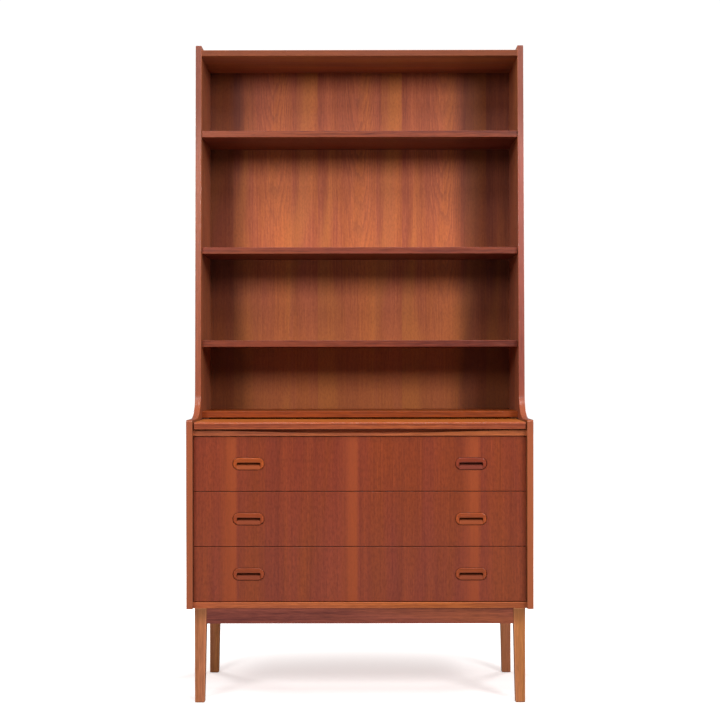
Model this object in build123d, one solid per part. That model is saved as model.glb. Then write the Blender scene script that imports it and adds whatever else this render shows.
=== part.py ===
from build123d import *
import os

# Teak bookcase over a chest of drawers. Millimetres, +Z up, front towards -Y, +X to the right.
# The origin is on the floor, at the middle of the footprint.

# ---------------------------------------------------------------- driving dimensions
WIDTH = 900.0
DEPTH = 440.0
HEIGHT = 1757.0
SIDE_T = 16.0
CASE_BOTTOM = 245.5          # underside of the case, top of the leg frame
DESK_SHOULDER = 735.5        # where the deep lower part of a side ends
UPPER_SETBACK_LOW = 188.0    # how far the upper part stands back, just over the desk
UPPER_SETBACK_TOP = 213.0    # and at the top: the front edge leans back a little
SWEEP_RUN = 88.0             # the concave sweep between the two, along Y
SWEEP_RISE = 62.0            # and along Z
CORNER_R = 5.0
EDGE_R = 1.2                 # the eased edges of the boards

BACK_T = 5.0
BACK_INSET = 3.0             # the back panels lie this far inside the rear edges
REBATE_W = 8.0
BACK_TOP = 1744.0

TOP_Z = (1728.0, 1744.0)
LEDGE_Z = (734.5, 751.5)
DUST_Z = (693.5, 708.5)
BOTTOM_Z = (CASE_BOTTOM, CASE_BOTTOM + 15)
DUST_RECESS = 16.0
BOTTOM_RECESS = 15.0
FINGER_RAIL_D = 28.0         # depth of the solid rail in front of the dust board
FINGER_CHORD = 750.0         # the long shallow finger cut in the rail's top edge
FINGER_DIP = 8.0
FINGER_DEPTH = 9.0

SHELF_T = 17.6
SHELF_GAP = 1.2
LIPPING_T = 6.0
SHELF_BACK_GAP = 3.0
ROW_PITCH = 32.0             # support holes, one row above another
ROW_ZERO = 937.2             # the lowest shelf rests on this row
ROWS = range(-2, 23)
SHELF_ROWS = {"lower": 0, "middle": 8, "upper": 18}
HOLE_Y = (45.0, 175.0)       # the two columns of support holes
HOLE_R = 1.7
HOLE_DEPTH = 8.5
WIRE_R = 1.5
WIRE_OFF = 1.8               # from the side's face to the wire's axis
SLOT_H = 3.6
SLOT_DEPTH = 2.6
SLOT_FRONT = 40.0

SLIDE_Z = (711.0, 729.9)
SLIDE_HALF = 430.0
SLIDE_RECESS = 5.5
SLIDE_BACK = 205.0
SLIDE_LIPPING = 8.0
SLIDE_TRAVEL = 160.0
GUIDE_GAP = 0.8

FRONT_T = 18.0
FRONT_RECESS = 20.0
FRONT_HALF = 432.6
FRONT_GAP = 1.8
FRONT_HEIGHTS = {"bottom": 141.9, "middle": 141.9, "top": 141.9}
BOX_HALF = 430.0
BOX_SIDE_T = 14.0
BOX_BACK_Y = 188.0
BOX_BACK_T = 12.0
BOX_LIFT = 8.0               # drawer sides start this far above the front's lower edge
BOX_DROP = 18.0              # and end this far below its upper edge
BOX_FLOOR_LIFT = 8.0
BOX_FLOOR_T = 5.0
FLOOR_GROOVE = 6.0
GROOVE_PLAY = 0.1
TAIL_LEN = 12.0
TAIL_COUNT = 4
TAIL_WIDE = 21.0
TAIL_NARROW = 17.0
RUNNER_GROOVE_D = 8.0
RUNNER_GROOVE_H = 15.0
RUNNER_PLAY = 0.5
RUNNER_Y = (-178.0, 200.0)

PULL_X = 290.0
PULL_L = 81.0
PULL_H = 31.0
PULL_PROUD = 1.6
PULL_SET = 12.0
PULL_POCKET_D = 12.4
PULL_POCKET_PLAY = 1.2
SCOOP_HALF = 31.0

LEG_OUTER = 430.0
LEG_TOP = (31.5, 32.0)
LEG_FOOT = (25.0, 25.0)
LEG_LEAN_IN = 0.3            # the foot's outer face stands this far inside the top's
LEG_FRONT_Y = -208.0
LEG_REAR_Y = 138.0
LEG_R = 3.5
LEG_FOOT_R = 3.0
GLIDE_T = 3.0
GLIDE_R = 10.5
APRON_H = 40.0
APRON_T = 20.0
APRON_RECESS = 4.0
TENON = 6.0

DOWEL_R = 4.0
DOWEL_L = 32.0
DOWEL_IN_SIDE = 10.0
DOWEL_PLAY = 0.05
SCREW_R = 1.4
SCREW_HEAD_R = 3.2
SCREW_HEAD_H = 1.5
SCREW_L = 12.0
SCREW_SLOT = 0.8

# ---------------------------------------------------------------- worked-out places
FRONT_Y = -DEPTH / 2
REAR_Y = DEPTH / 2
SIDE_OUT = WIDTH / 2
SIDE_IN = SIDE_OUT - SIDE_T
UPPER_FRONT_Y = FRONT_Y + UPPER_SETBACK_TOP
PANEL_REAR_Y = REAR_Y - BACK_INSET
PANEL_FRONT_Y = PANEL_REAR_Y - BACK_T
DUST_FRONT_Y = FRONT_Y + DUST_RECESS
BOTTOM_FRONT_Y = FRONT_Y + BOTTOM_RECESS
SLIDE_FRONT_Y = FRONT_Y + SLIDE_RECESS
DRAWER_FACE_Y = FRONT_Y + FRONT_RECESS
DRAWER_REAR_FACE_Y = DRAWER_FACE_Y + FRONT_T
BACK_SPLIT_Z = sum(LEDGE_Z) / 2


# ---------------------------------------------------------------- helpers
def block(x, y, z):
    """A box between two limits along each axis."""
    size = (x[1] - x[0], y[1] - y[0], z[1] - z[0])
    return Pos(sum(x) / 2, sum(y) / 2, sum(z) / 2) * Box(*size)


def along_x(face, x):
    """Extrude a face drawn in Y and Z between two limits along X."""
    plane = Plane(origin=(x[0], 0, 0), x_dir=(0, 1, 0), z_dir=(1, 0, 0))
    return extrude(plane * face, x[1] - x[0])


def along_y(face, y):
    """Extrude a face drawn in X and Z between two limits along Y."""
    plane = Plane(origin=(0, y[1], 0), x_dir=(1, 0, 0), z_dir=(0, -1, 0))
    return extrude(plane * face, y[1] - y[0])


def rod_x(radius, x, y, z):
    """A round bar along X."""
    return Pos(sum(x) / 2, y, z) * Rot(0, 90, 0) * Cylinder(radius, x[1] - x[0])


def rod_y(radius, x, y, z):
    """A round bar along Y."""
    return Pos(x, sum(y) / 2, z) * Rot(90, 0, 0) * Cylinder(radius, y[1] - y[0])


def mirrored(shape):
    """The same shape on the other side of the middle."""
    return mirror(shape, about=Plane.YZ)


def both_sides(shapes):
    """Each shape and its mirror image."""
    return shapes + [mirrored(shape) for shape in shapes]


def ease_front(solid, radius=EDGE_R):
    """Round the two long edges of a board's front."""
    return fillet(solid.edges().filter_by(Axis.X).group_by(Axis.Y)[0], radius)


def save(name, shapes):
    """Write one node, of one solid or of several alike."""
    solids = [solid for shape in shapes for solid in shape.solids()]
    shape = solids[0] if len(solids) == 1 else Compound(children=solids)
    export_step(shape, f"parts/{name}.step")


# ---------------------------------------------------------------- dowels, screws and holes
UPPER_DOWEL_Y = (25.0, 105.0, 185.0)
LOWER_DOWEL_Y = (-150.0, 10.0, 170.0)
DOWEL_ROWS = {
    TOP_Z: UPPER_DOWEL_Y,
    LEDGE_Z: UPPER_DOWEL_Y,
    DUST_Z: LOWER_DOWEL_Y,
    BOTTOM_Z: LOWER_DOWEL_Y,
}


def dowels(play=0.0):
    """The dowels between the fixed boards and the right side, or their holes with some play."""
    x = (SIDE_IN + DOWEL_IN_SIDE - DOWEL_L - play, SIDE_IN + DOWEL_IN_SIDE + play)
    return [rod_x(DOWEL_R + play, x, y, sum(z) / 2) for z, row in DOWEL_ROWS.items() for y in row]


def back_screw_places():
    """X and Z of the screws that hold the back panels."""
    edge_x = SIDE_IN + REBATE_W / 2
    upper = [(edge_x, 790 + 150 * i) for i in range(7)]
    lower = [(edge_x, 290 + 125 * i) for i in range(4)]
    top = [(180 * i, sum(TOP_Z) / 2) for i in (-2, -1, 0, 1, 2)]
    ledge = [(180 * i, BACK_SPLIT_Z + 4.5) for i in (-2, -1, 0, 1, 2)]
    under_ledge = [(180 * i + 90, BACK_SPLIT_Z - 4.5) for i in (-2, -1, 0, 1)]
    dust = [(180 * i, sum(DUST_Z) / 2) for i in (-2, -1, 0, 1, 2)]
    bottom = [(180 * i, sum(BOTTOM_Z) / 2) for i in (-2, -1, 0, 1, 2)]
    sides = upper + lower
    return sides + [(-x, z) for x, z in sides] + top + ledge + under_ledge + dust + bottom


def back_screw(x, z):
    """A slotted pan-head screw in the back."""
    shank = rod_y(SCREW_R, x, (PANEL_REAR_Y - SCREW_L, PANEL_REAR_Y), z)
    head = rod_y(SCREW_HEAD_R, x, (PANEL_REAR_Y, PANEL_REAR_Y + SCREW_HEAD_H), z)
    head = fillet(head.edges().group_by(Axis.Y)[-1], 0.7)
    slot = block((x - SCREW_HEAD_R, x + SCREW_HEAD_R),
                 (PANEL_REAR_Y + 0.7, PANEL_REAR_Y + 2),
                 (z - SCREW_SLOT / 2, z + SCREW_SLOT / 2))
    return shank + head - slot


def back_screw_holes():
    """The pilot holes of the back screws."""
    y = (PANEL_REAR_Y - SCREW_L - 0.5, PANEL_REAR_Y + 1)
    return [rod_y(SCREW_R + DOWEL_PLAY, x, y, z) for x, z in back_screw_places()]


def near(tools, z, x=None):
    """The tools whose middle lies between two heights, and between two limits along X."""
    found = []
    for tool in tools:
        middle = tool.bounding_box().center()
        if z[0] <= middle.Z <= z[1] and (x is None or x[0] <= middle.X <= x[1]):
            found.append(tool)
    return found


DOWEL_HOLES = dowels(DOWEL_PLAY)
BACK_HOLES = back_screw_holes()


# ---------------------------------------------------------------- the case
def side_outline():
    """A side's outline in Y and Z: deep below, swept back at desk height, leaning back above."""
    low_y = FRONT_Y + UPPER_SETBACK_LOW
    sweep_y = low_y - SWEEP_RUN
    sweep_z = DESK_SHOULDER + SWEEP_RISE
    sweep = EllipticalCenterArc((sweep_y, sweep_z), SWEEP_RUN, SWEEP_RISE, 270, arc_size=90)
    front = Polyline((sweep_y, DESK_SHOULDER), (FRONT_Y, DESK_SHOULDER), (FRONT_Y, CASE_BOTTOM),
                     (REAR_Y, CASE_BOTTOM), (REAR_Y, HEIGHT), (UPPER_FRONT_Y, HEIGHT),
                     (low_y, sweep_z))
    return make_face([sweep, front])


def support_holes():
    """Both columns of holes that the shelf wires plug into, in the right side."""
    x = (SIDE_IN - 1, SIDE_IN + HOLE_DEPTH)
    return [rod_x(HOLE_R, x, y, ROW_ZERO + ROW_PITCH * row) for row in ROWS for y in HOLE_Y]


def side_right():
    """One side, cut from a single board."""
    side = along_x(side_outline(), (SIDE_IN, SIDE_OUT))
    corners = side.edges().filter_by(Axis.X)
    shoulder = corners.filter_by_position(Axis.Y, FRONT_Y - 1, FRONT_Y + 1)
    shoulder = shoulder.filter_by_position(Axis.Z, DESK_SHOULDER - 1, DESK_SHOULDER + 1)
    head = corners.filter_by_position(Axis.Y, UPPER_FRONT_Y - 1, UPPER_FRONT_Y + 1)
    side = fillet(shoulder + head, CORNER_R)
    rim = [edge for face in side.faces().filter_by(Axis.X) for edge in face.edges()
           if edge.center().Z > CASE_BOTTOM + 1 and edge.center().Y < REAR_Y - 1]
    side = fillet(rim, EDGE_R)
    rebate = block((SIDE_IN - 1, SIDE_IN + REBATE_W), (PANEL_FRONT_Y, REAR_Y + 1),
                   (CASE_BOTTOM - 1, BACK_TOP))
    screws = near(BACK_HOLES, (CASE_BOTTOM, HEIGHT), (SIDE_IN, SIDE_OUT))
    return side - [rebate] - support_holes() - DOWEL_HOLES - screws


def fixed_board(y_front, z):
    """A fixed board between the sides, with its dowel and screw holes."""
    board = ease_front(block((-SIDE_IN, SIDE_IN), (y_front, PANEL_FRONT_Y), z))
    return board - both_sides(near(DOWEL_HOLES, z)) - near(BACK_HOLES, z, (-SIDE_IN, SIDE_IN))


def dust_board():
    """The fixed board over the drawers, behind its front rail."""
    y = (DUST_FRONT_Y + FINGER_RAIL_D, PANEL_FRONT_Y)
    board = block((-SIDE_IN, SIDE_IN), y, DUST_Z)
    return board - both_sides(near(DOWEL_HOLES, DUST_Z)) - near(BACK_HOLES, DUST_Z)


def finger_rail():
    """The solid rail in front of the dust board, with the long finger cut under the slide."""
    half = FINGER_CHORD / 2
    cut = ThreePointArc((half, DUST_Z[1]), (0, DUST_Z[1] - FINGER_DIP), (-half, DUST_Z[1]))
    rest = Polyline((-half, DUST_Z[1]), (-SIDE_IN, DUST_Z[1]), (-SIDE_IN, DUST_Z[0]),
                    (SIDE_IN, DUST_Z[0]), (SIDE_IN, DUST_Z[1]), (half, DUST_Z[1]))
    lip = along_y(make_face([cut, rest]), (DUST_FRONT_Y, DUST_FRONT_Y + FINGER_DEPTH))
    low = lip.edges().filter_by(Axis.X).group_by(Axis.Z)[0].sort_by(Axis.Y)[0]
    lip = fillet(low, 1.0)
    heel = block((-SIDE_IN, SIDE_IN), (DUST_FRONT_Y + FINGER_DEPTH, DUST_FRONT_Y + FINGER_RAIL_D),
                 DUST_Z)
    return lip + heel


def back_panel(z):
    """A thin panel screwed into the rebates and onto the boards."""
    half = SIDE_IN + REBATE_W - 0.2
    panel = block((-half, half), (PANEL_FRONT_Y, PANEL_REAR_Y), z)
    return panel - near(BACK_HOLES, z)


# ---------------------------------------------------------------- shelves
def shelf_z(name):
    """The height of a shelf's middle."""
    return ROW_ZERO + ROW_PITCH * SHELF_ROWS[name]


def shelf_board(name):
    """A shelf, with a slot in each end that is open at the back and slides onto its wires."""
    z = shelf_z(name)
    half = SIDE_IN - SHELF_GAP
    board = block((-half, half), (UPPER_FRONT_Y + LIPPING_T, PANEL_FRONT_Y - SHELF_BACK_GAP),
                  (z - SHELF_T / 2, z + SHELF_T / 2))
    slot = block((half - SLOT_DEPTH, half + 1), (SLOT_FRONT, PANEL_FRONT_Y + 1),
                 (z - SLOT_H / 2, z + SLOT_H / 2))
    return board - both_sides([slot])


def shelf_lipping(name):
    """The solid strip along a shelf's front edge."""
    z = shelf_z(name)
    half = SIDE_IN - SHELF_GAP
    strip = block((-half, half), (UPPER_FRONT_Y, UPPER_FRONT_Y + LIPPING_T),
                  (z - SHELF_T / 2, z + SHELF_T / 2))
    return ease_front(strip)


def shelf_wire(name):
    """A bent steel wire: both ends plug into the right side, the run between carries the shelf."""
    z = shelf_z(name)
    tip = SIDE_IN + HOLE_DEPTH - 0.5
    run = SIDE_IN - WIRE_OFF
    path = FilletPolyline((tip, HOLE_Y[0], z), (run, HOLE_Y[0], z),
                          (run, HOLE_Y[1], z), (tip, HOLE_Y[1], z), radius=2.0)
    section = Plane(origin=(tip, HOLE_Y[0], z), z_dir=(-1, 0, 0)) * Circle(WIRE_R)
    return sweep(section, path=path)


# ---------------------------------------------------------------- writing slide
SLIDE_SPLIT_Y = SLIDE_FRONT_Y + SLIDE_LIPPING
STOP_X = 380.0
BATTEN_Y = (SLIDE_BACK - 15, SLIDE_BACK)
STOP_Y = (BATTEN_Y[0] - SLIDE_TRAVEL - 16.5, BATTEN_Y[0] - SLIDE_TRAVEL - 0.5)


def writing_slide_board():
    """The pull-out writing surface behind its lipping."""
    return block((-SLIDE_HALF, SLIDE_HALF), (SLIDE_SPLIT_Y, SLIDE_BACK), SLIDE_Z)


def writing_slide_lipping():
    """The solid front edge of the slide, well rounded on top."""
    strip = block((-SLIDE_HALF, SLIDE_HALF), (SLIDE_FRONT_Y, SLIDE_SPLIT_Y), SLIDE_Z)
    low, high = strip.edges().filter_by(Axis.X).group_by(Axis.Y)[0].sort_by(Axis.Z)
    strip = fillet(high, 4.5)
    low = strip.edges().filter_by(Axis.X).group_by(Axis.Z)[0].sort_by(Axis.Y)[0]
    return fillet(low, 2.0)


def writing_slide_batten():
    """The strip on the slide's rear edge that meets the stop under the ledge."""
    return block((-STOP_X, STOP_X), BATTEN_Y, (SLIDE_Z[1], LEDGE_Z[0] - GUIDE_GAP))


def slide_stop():
    """The fixed stop under the ledge."""
    return block((-STOP_X, STOP_X), STOP_Y, (SLIDE_Z[1] + GUIDE_GAP, LEDGE_Z[0]))


def slide_guides():
    """Strips that the slide rests on, and strips under the ledge that stop it from tipping."""
    rest = block((SIDE_IN - 30, SIDE_IN), (DUST_FRONT_Y + 14, PANEL_FRONT_Y),
                 (DUST_Z[1], SLIDE_Z[0] - 0.3))
    kicker = block((SIDE_IN - 20, SIDE_IN), (UPPER_FRONT_Y + 2, PANEL_FRONT_Y),
                   (SLIDE_Z[1] + GUIDE_GAP, LEDGE_Z[0]))
    return both_sides([rest, kicker])


# ---------------------------------------------------------------- drawers
def drawer_bottoms():
    """The height at which each front starts."""
    places = {}
    z = BOTTOM_Z[1] + FRONT_GAP
    for name, height in FRONT_HEIGHTS.items():
        places[name] = z
        z += height + FRONT_GAP
    return places


DRAWER_Z = drawer_bottoms()


def box_z(name):
    """The lower and upper edge of a drawer's sides."""
    z = DRAWER_Z[name]
    return z + BOX_LIFT, z + FRONT_HEIGHTS[name] - BOX_DROP


def floor_z(name):
    """The lower and upper face of a drawer's floor."""
    z = box_z(name)[0] + BOX_FLOOR_LIFT
    return z, z + BOX_FLOOR_T


def floor_groove(name):
    """The space of the drawer's floor, with a little play, for cutting its grooves."""
    half = BOX_HALF - BOX_SIDE_T + FLOOR_GROOVE + GROOVE_PLAY
    y = (DRAWER_REAR_FACE_Y - FLOOR_GROOVE - GROOVE_PLAY, BOX_BACK_Y + 1)
    z = floor_z(name)
    return block((-half, half), y, (z[0] - GROOVE_PLAY, z[1] + GROOVE_PLAY))


def drawer_floor(name):
    """The thin drawer floor."""
    half = BOX_HALF - BOX_SIDE_T + FLOOR_GROOVE
    return block((-half, half), (DRAWER_REAR_FACE_Y - FLOOR_GROOVE, BOX_BACK_Y), floor_z(name))


def runner_z(name):
    """The middle height of a drawer's runners."""
    return sum(box_z(name)) / 2


def drawer_side(name):
    """The right drawer side, with dovetails in front and a groove for the runner."""
    z = box_z(name)
    x = (BOX_HALF - BOX_SIDE_T, BOX_HALF)
    side = block(x, (DRAWER_REAR_FACE_Y, BOX_BACK_Y), z)
    side = fillet(side.edges().filter_by(Axis.Y).group_by(Axis.Z)[-1], 2.0)
    pitch = (z[1] - z[0]) / TAIL_COUNT
    shoulder = DRAWER_REAR_FACE_Y + 0.01
    tip = DRAWER_REAR_FACE_Y - TAIL_LEN
    for i in range(TAIL_COUNT):
        middle = z[0] + pitch * (i + 0.5)
        tail = make_face(Polyline((shoulder, middle - TAIL_NARROW / 2), (tip, middle - TAIL_WIDE / 2),
                                  (tip, middle + TAIL_WIDE / 2), (shoulder, middle + TAIL_NARROW / 2),
                                  close=True))
        side += along_x(tail, x)
    middle = runner_z(name)
    groove = block((BOX_HALF - RUNNER_GROOVE_D, BOX_HALF + 1), (RUNNER_Y[0] - 2, BOX_BACK_Y + 1),
                   (middle - RUNNER_GROOVE_H / 2, middle + RUNNER_GROOVE_H / 2))
    return side - groove - floor_groove(name)


def drawer_back(name):
    """The drawer's back, standing on its floor between the sides."""
    half = BOX_HALF - BOX_SIDE_T
    return block((-half, half), (BOX_BACK_Y - BOX_BACK_T, BOX_BACK_Y),
                 (floor_z(name)[1] + GROOVE_PLAY, box_z(name)[1] - 5))


def pull_place(name, x):
    """Where a pull's middle lies on the drawer's face."""
    return Pos(x, DRAWER_FACE_Y, DRAWER_Z[name] + FRONT_HEIGHTS[name] / 2)


def drawer_front(name, sides):
    """The flush front: solid, with pockets for the pulls and sockets for the dovetails."""
    z = (DRAWER_Z[name], DRAWER_Z[name] + FRONT_HEIGHTS[name])
    front = block((-FRONT_HALF, FRONT_HALF), (DRAWER_FACE_Y, DRAWER_REAR_FACE_Y), z)
    front = fillet(front.edges().group_by(Axis.Y)[0], 0.8)
    pocket = along_y(SlotOverall(PULL_L + 2 * PULL_POCKET_PLAY, PULL_H + 2 * PULL_POCKET_PLAY),
                     (-1, PULL_POCKET_D))
    pockets = [pull_place(name, x) * pocket for x in (-PULL_X, PULL_X)]
    return front - pockets - sides - floor_groove(name)


def pull():
    """A carved pull: a rounded plug with a bar, and a scoop that runs in and up behind the bar."""
    plug = along_y(SlotOverall(PULL_L, PULL_H), (-PULL_PROUD, PULL_SET))
    plug = fillet(plug.edges().group_by(Axis.Y)[0], 2.2)
    scoop = make_face(Polyline((-4, 3), (3.6, 3), (4.2, 8.5), (9.5, 8.5), (9.5, 0.5),
                               (-PULL_PROUD, -13.0), (-4, -13.0), close=True))
    return plug - along_x(scoop, (-SCOOP_HALF, SCOOP_HALF))


def drawer_runner(name):
    """The hardwood strip on the right side that carries a drawer."""
    middle = runner_z(name)
    half = RUNNER_GROOVE_H / 2 - RUNNER_PLAY
    strip = block((BOX_HALF - RUNNER_GROOVE_D + RUNNER_PLAY, SIDE_IN), RUNNER_Y,
                  (middle - half, middle + half))
    return fillet(strip.edges().filter_by(Axis.Z).group_by(Axis.X)[0].sort_by(Axis.Y)[0], 4.0)


# ---------------------------------------------------------------- leg frame
APRON_Z = (CASE_BOTTOM - APRON_H, CASE_BOTTOM)
LEG_INNER = LEG_OUTER - LEG_TOP[0]
APRON_FRONT_Y = LEG_FRONT_Y + APRON_RECESS
APRON_REAR_Y = LEG_REAR_Y + LEG_TOP[1] - APRON_RECESS
BLOCK_LEG = 48.0
BLOCK_H = 24.0


def leg_blank(y_front):
    """A right leg: rounded square, tapering mostly on its inner faces."""
    top = Pos(LEG_OUTER - LEG_TOP[0] / 2, y_front + LEG_TOP[1] / 2, CASE_BOTTOM)
    foot = Pos(LEG_OUTER - LEG_LEAN_IN - LEG_FOOT[0] / 2, y_front + LEG_TOP[1] / 2, GLIDE_T)
    sections = [foot * RectangleRounded(*LEG_FOOT, LEG_FOOT_R), top * RectangleRounded(*LEG_TOP, LEG_R)]
    return loft(sections)


def cross_apron(y):
    """The front or rear apron, with short tenons in the legs."""
    return block((-LEG_INNER - TENON, LEG_INNER + TENON), y, APRON_Z)


def side_apron():
    """The right apron."""
    x = (LEG_OUTER - APRON_RECESS - APRON_T, LEG_OUTER - APRON_RECESS)
    return block(x, (LEG_FRONT_Y + LEG_TOP[1] - TENON, LEG_REAR_Y + TENON), APRON_Z)


APRONS = {
    "apron_front": cross_apron((APRON_FRONT_Y, APRON_FRONT_Y + APRON_T)),
    "apron_rear": cross_apron((APRON_REAR_Y - APRON_T, APRON_REAR_Y)),
    "apron_right": side_apron(),
    "apron_left": mirrored(side_apron()),
}


def corner_block(front):
    """A block across an inner corner of the frame, and its screw up into the case."""
    turn = 1 if front else -1
    y_apron = APRON_FRONT_Y + APRON_T if front else APRON_REAR_Y - APRON_T
    y_leg = LEG_FRONT_Y + LEG_TOP[1] + 0.4 if front else LEG_REAR_Y - 0.4
    x_apron = LEG_OUTER - APRON_RECESS - APRON_T
    outline = Polyline((LEG_INNER - BLOCK_LEG, y_apron), (LEG_INNER - 0.4, y_apron),
                       (LEG_INNER - 0.4, y_leg), (x_apron, y_leg),
                       (x_apron, y_leg + turn * BLOCK_LEG), close=True)
    body = extrude(Pos(0, 0, CASE_BOTTOM - BLOCK_H) * make_face(outline), BLOCK_H, dir=(0, 0, 1))
    middle = (LEG_INNER - 12, y_leg + turn * 10)
    hole = Pos(*middle, CASE_BOTTOM - 12) * Cylinder(2.1, 30)
    sink = Pos(*middle, CASE_BOTTOM - BLOCK_H) * Cylinder(4.8, 6)
    shank = Pos(*middle, CASE_BOTTOM - 6) * Cylinder(2.0, 30)
    head = Pos(*middle, CASE_BOTTOM - 22.5) * Cylinder(4.4, 3)
    slot = Pos(*middle, CASE_BOTTOM - BLOCK_H) * Box(10, 1, 2)
    return body - hole - sink, shank + head - slot, Pos(0, 0, 6) * hole


CORNERS = [corner_block(front) for front in (True, False)]


def bottom_board():
    """The bottom of the case, with pilot holes for the leg frame's screws."""
    pilots = [corner[2] for corner in CORNERS]
    return fixed_board(BOTTOM_FRONT_Y, BOTTOM_Z) - both_sides(pilots)


# ---------------------------------------------------------------- write every node
os.makedirs("parts", exist_ok=True)

right = side_right()
save("side_right", [right])
save("side_left", [mirrored(right)])
save("top_board", [fixed_board(UPPER_FRONT_Y, TOP_Z)])
save("ledge_board", [fixed_board(UPPER_FRONT_Y, LEDGE_Z)])
save("dust_board", [dust_board()])
save("finger_rail", [finger_rail()])
save("bottom_board", [bottom_board()])
save("back_panel_upper", [back_panel((BACK_SPLIT_Z + 0.2, BACK_TOP))])
save("back_panel_lower", [back_panel((CASE_BOTTOM, BACK_SPLIT_Z - 0.2))])
save("back_screws", [back_screw(x, z) for x, z in back_screw_places()])
save("case_dowels", both_sides(dowels()))

for shelf in SHELF_ROWS:
    save(f"shelf_{shelf}_board", [shelf_board(shelf)])
    save(f"shelf_{shelf}_lipping", [shelf_lipping(shelf)])
    save(f"shelf_{shelf}_wires", both_sides([shelf_wire(shelf)]))

save("writing_slide_board", [writing_slide_board()])
save("writing_slide_lipping", [writing_slide_lipping()])
save("writing_slide_batten", [writing_slide_batten()])
save("slide_stop", [slide_stop()])
save("slide_guides", slide_guides())

carved = pull()
for drawer in FRONT_HEIGHTS:
    box_side = drawer_side(drawer)
    box_sides = both_sides([box_side])
    save(f"drawer_{drawer}_front", [drawer_front(drawer, box_sides)])
    save(f"drawer_{drawer}_side_right", [box_sides[0]])
    save(f"drawer_{drawer}_side_left", [box_sides[1]])
    save(f"drawer_{drawer}_back", [drawer_back(drawer)])
    save(f"drawer_{drawer}_floor", [drawer_floor(drawer)])
    save(f"drawer_{drawer}_pull_left", [pull_place(drawer, -PULL_X) * carved])
    save(f"drawer_{drawer}_pull_right", [pull_place(drawer, PULL_X) * carved])

runners = [drawer_runner(drawer) for drawer in FRONT_HEIGHTS]
save("drawer_runners_right", runners)
save("drawer_runners_left", [mirrored(runner) for runner in runners])

for place, y_front in (("front", LEG_FRONT_Y), ("rear", LEG_REAR_Y)):
    leg = leg_blank(y_front) - list(APRONS.values())
    save(f"leg_{place}_right", [leg])
    save(f"leg_{place}_left", [mirrored(leg)])
for name, apron in APRONS.items():
    save(name, [apron])

glides = []
for y_front in (LEG_FRONT_Y, LEG_REAR_Y):
    middle = (LEG_OUTER - LEG_LEAN_IN - LEG_FOOT[0] / 2, y_front + LEG_TOP[1] / 2)
    glide = Pos(*middle, GLIDE_T / 2) * Cylinder(GLIDE_R, GLIDE_T)
    glides.append(fillet(glide.edges().group_by(Axis.Z)[0], 0.8))
save("foot_glides", both_sides(glides))
save("corner_blocks", both_sides([corner[0] for corner in CORNERS]))
save("frame_screws", both_sides([corner[1] for corner in CORNERS]))
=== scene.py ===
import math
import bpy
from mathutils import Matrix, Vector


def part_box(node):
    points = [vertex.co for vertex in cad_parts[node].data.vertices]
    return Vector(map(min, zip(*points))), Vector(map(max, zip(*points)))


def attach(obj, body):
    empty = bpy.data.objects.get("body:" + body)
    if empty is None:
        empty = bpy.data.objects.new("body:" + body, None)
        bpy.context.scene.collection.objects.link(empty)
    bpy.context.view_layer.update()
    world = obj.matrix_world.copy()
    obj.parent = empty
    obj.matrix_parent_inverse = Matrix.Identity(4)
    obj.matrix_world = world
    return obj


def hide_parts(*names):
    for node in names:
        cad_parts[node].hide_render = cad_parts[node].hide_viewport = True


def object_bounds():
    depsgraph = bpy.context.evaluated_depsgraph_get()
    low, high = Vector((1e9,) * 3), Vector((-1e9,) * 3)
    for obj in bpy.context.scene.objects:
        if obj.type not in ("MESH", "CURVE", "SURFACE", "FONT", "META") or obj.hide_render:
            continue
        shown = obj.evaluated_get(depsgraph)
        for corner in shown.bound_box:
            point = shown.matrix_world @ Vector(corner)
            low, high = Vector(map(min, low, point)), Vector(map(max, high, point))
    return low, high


bl_info = {
    "name": "Teak bookcase with writing slide",
    "version": (1, 0, 0),
    "blender": (4, 5, 0),
    "location": "View3D > Sidebar > Bookcase",
    "description": "Finishes, carved pulls, legs and studio for a teak bookcase over drawers",
    "category": "Object",
}

import bpy
import numpy as np
from bpy.props import FloatProperty, FloatVectorProperty, IntProperty, PointerProperty

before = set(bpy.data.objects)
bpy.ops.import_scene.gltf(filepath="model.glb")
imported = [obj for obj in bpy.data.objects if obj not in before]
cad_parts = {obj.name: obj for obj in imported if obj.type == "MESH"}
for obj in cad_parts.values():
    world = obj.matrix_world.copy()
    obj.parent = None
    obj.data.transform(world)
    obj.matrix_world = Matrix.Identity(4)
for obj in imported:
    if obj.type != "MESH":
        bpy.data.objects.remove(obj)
CAD_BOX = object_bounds()

SHELVES = ("lower", "middle", "upper")
DRAWERS = ("bottom", "middle", "top")
SIDES = ("left", "right")
LEGS = [(row, side) for row in ("front", "rear") for side in SIDES]

# Lengths in metres. The legs' half-widths are given across and in depth.
FOOT_HALF = (0.0125, 0.0125)
LEG_TOP_HALF = (0.01575, 0.016)
LEG_LEAN = 0.0003
SOLE = 0.0006
SOLE_EASE = 0.0004
PULL_RADIUS = 0.0157
SCOOP_HALF_LENGTH = 0.0298
SCOOP_END = 0.0014
PULL_EASE_START = 0.0360
PULL_EASE = 0.0034


# ------------------------------------------------------------------ properties
def colour(name, default):
    """A colour property, in linear red, green and blue."""
    return FloatVectorProperty(name=name, description=f"{name}, linear", subtype="COLOR", size=3,
                               min=0.0, max=1.0, default=default)


def amount(name, description, default):
    """A plain number from 0 to 1."""
    return FloatProperty(name=name, description=description, default=default, min=0.0, max=1.0)


def length(name, description, default):
    """A length in metres."""
    return FloatProperty(name=name, description=description, default=default, subtype="DISTANCE",
                         unit="LENGTH")


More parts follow.
